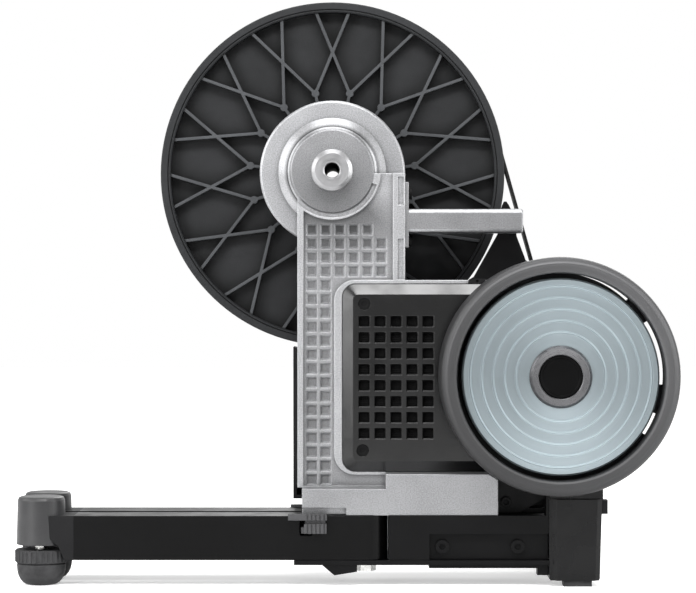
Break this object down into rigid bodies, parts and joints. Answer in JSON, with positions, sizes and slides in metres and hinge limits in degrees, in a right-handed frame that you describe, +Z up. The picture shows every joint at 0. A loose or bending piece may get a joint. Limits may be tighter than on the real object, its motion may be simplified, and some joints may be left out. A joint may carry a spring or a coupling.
{
  "type": "direct drive bike trainer",
  "caption": "Indoor trainer that carries a bicycle's rear axle: a belt wheel drives a guarded flywheel on a silver arm over a steel base with folding legs.",
  "frame": {"origin": "middle of the outer box on the floor, with the legs folded", "axes": "+X towards the flywheel and the rear of the bicycle, +Y towards the freehub side, +Z up"},
  "size_m": [0.54, 0.24, 0.4857],
  "materials": {
    "silver_casting": "fine-grained silver paint on a die casting",
    "black_steel": "satin black powder coat",
    "leg_steel": "satin black powder coat",
    "cover_plastic": "spark-eroded black plastic",
    "black_screws": "black oxide",
    "board": "black solder mask",
    "black_plastic": "spark-eroded black plastic",
    "motor_black": "black with ground end plates",
    "ground_steel": "ground steel",
    "nickel": "nickel plate",
    "guard_grey": "dark grey turned and anodised aluminium",
    "flywheel_steel": "turned steel, pale blue-grey lacquer",
    "collar_steel": "dark turned metal",
    "cap_black": "black with turned rings",
    "bearing_steel": "ground rings",
    "pulley_steel": "turned steel",
    "belt_rubber": "ribbed rubber belt",
    "zinc": "bright zinc plate",
    "wheel_plastic": "moulded glass-filled black nylon",
    "hub_alloy": "anodised aluminium",
    "axle_alloy": "turned aluminium",
    "cap_plastic": "black plastic",
    "foot_rubber": "moulded black rubber",
    "foot_plastic": "black plastic",
    "latch_grey": "dark grey plastic"
  },
  "bodies": {
    "base": {"support_arm": "silver_casting", "handle": "silver_casting", "rear_web": "black_steel", "front_cover": "cover_plastic", "housing_screws": "black_screws", "circuit_board": "board", "speed_sensor": "black_plastic", "stepper_motor": "motor_black", "guide_rods": "ground_steel", "guard_pan": "guard_grey", "shaft_bearings": "bearing_steel", "drive_belt": "belt_rubber", "idler_arm": "black_steel", "idler_bolt": "zinc", "axle": "ground_steel", "axle_end_left": "axle_alloy", "axle_end_right": "axle_alloy", "belt_guard": "black_plastic", "guard_screws": "black_screws", "base_frame": "black_steel", "base_plate": "black_steel", "frame_bolts": "black_screws", "rear_bracket": "black_steel", "rear_beam": "black_steel", "beam_caps": "cap_plastic", "rear_pads": "foot_rubber", "power_inlet": "black_plastic", "pivot_bolts": "zinc"},
    "wheel_body": {"pulley_wheel": "wheel_plastic", "hub_shell": "hub_alloy", "hub_screws": "black_screws", "hub_bearings": "bearing_steel", "ratchet_ring": "pulley_steel"},
    "freehub": {"freehub_body": "hub_alloy", "freehub_pawls": "pulley_steel", "freehub_bearings": "bearing_steel"},
    "flywheel_body": {"flywheel": "flywheel_steel", "flywheel_collar": "collar_steel", "flywheel_cap": "cap_black", "flywheel_shaft": "ground_steel", "small_pulley": "pulley_steel"},
    "idler": {"idler_pulley": "pulley_steel"},
    "brake_screw": {"lead_screw": "ground_steel", "motor_rotor": "pulley_steel"},
    "brake_slider": {"magnet_carrier": "black_plastic", "brake_magnets": "nickel"},
    "near_leg_body": {"near_leg": "leg_steel", "near_bracket": "black_plastic", "near_foot_cap": "foot_plastic"},
    "near_pad_body": {"near_foot_pad": "foot_rubber"},
    "near_knob_body": {"near_foot_knob": "foot_rubber", "near_foot_stud": "zinc"},
    "near_latch_body": {"near_latch": "latch_grey"},
    "far_leg_body": {"far_leg": "leg_steel", "far_bracket": "black_plastic", "far_foot_cap": "foot_plastic"},
    "far_pad_body": {"far_foot_pad": "foot_rubber"},
    "far_knob_body": {"far_foot_knob": "foot_rubber", "far_foot_stud": "zinc"},
    "far_latch_body": {"far_latch": "latch_grey"}
  },
  "joints": [
    {"name": "flywheel_spin", "type": "hinge", "parent": "base", "child": "flywheel_body", "pos_m": [0.1739, -0.075, 0.1719], "axis": [0, 1, 0], "continuous": true},
    {"name": "wheel_spin", "type": "hinge", "parent": "base", "child": "wheel_body", "pos_m": [-0.0095, 0.015, 0.34], "axis": [0, 1, 0], "continuous": true},
    {"name": "idler_spin", "type": "hinge", "parent": "base", "child": "idler", "pos_m": [0.11554, 0.014, 0.16299], "axis": [0, 1, 0], "continuous": true},
    {"name": "freehub_spin", "type": "hinge", "parent": "wheel_body", "child": "freehub", "pos_m": [-0.0095, 0.053, 0.34], "axis": [0, 1, 0], "continuous": true},
    {"name": "brake_screw_turn", "type": "hinge", "parent": "base", "child": "brake_screw", "pos_m": [0.1179, -0.055, 0.1719], "axis": [0, -1, 0], "range_deg": [0, 2160]},
    {"name": "brake_slide", "type": "slide", "parent": "base", "child": "brake_slider", "axis": [0, -1, 0], "range_m": [0, 0.009]},
    {"name": "near_leg_fold", "type": "hinge", "parent": "base", "child": "near_leg_body", "pos_m": [0.0181, -0.0605, 0.0395], "axis": [0, 0, 1], "range_deg": [0, 50]},
    {"name": "near_foot_height", "type": "slide", "parent": "near_leg_body", "child": "near_pad_body", "axis": [0, 0, -1], "range_m": [0, 0.009]},
    {"name": "near_foot_turn", "type": "hinge", "parent": "near_pad_body", "child": "near_knob_body", "pos_m": [-0.2484, -0.0605, 0.024], "axis": [0, 0, -1], "range_deg": [0, 2160]},
    {"name": "near_latch_lift", "type": "slide", "parent": "near_leg_body", "child": "near_latch_body", "axis": [0, 0, 1], "range_m": [0, 0.004], "stiffness_N_per_m": 500, "springref_m": -0.004},
    {"name": "far_leg_fold", "type": "hinge", "parent": "base", "child": "far_leg_body", "pos_m": [0.0181, -0.014, 0.0395], "axis": [0, 0, -1], "range_deg": [0, 50]},
    {"name": "far_foot_height", "type": "slide", "parent": "far_leg_body", "child": "far_pad_body", "axis": [0, 0, -1], "range_m": [0, 0.009]},
    {"name": "far_foot_turn", "type": "hinge", "parent": "far_pad_body", "child": "far_knob_body", "pos_m": [-0.2484, -0.014, 0.024], "axis": [0, 0, -1], "range_deg": [0, 2160]},
    {"name": "far_latch_lift", "type": "slide", "parent": "far_leg_body", "child": "far_latch_body", "axis": [0, 0, 1], "range_m": [0, 0.004], "stiffness_N_per_m": 500, "springref_m": -0.004}
  ],
  "couplings": [
    {"joint": "wheel_spin", "follows": "flywheel_spin", "ratio": 0.084615},
    {"joint": "idler_spin", "follows": "flywheel_spin", "ratio": -0.78065},
    {"joint": "brake_slide", "follows": "brake_screw_turn", "m_per_rad": 0.00023873},
    {"joint": "near_foot_height", "follows": "near_foot_turn", "m_per_rad": 0.00023873},
    {"joint": "far_foot_height", "follows": "far_foot_turn", "m_per_rad": 0.00023873}
  ]
}
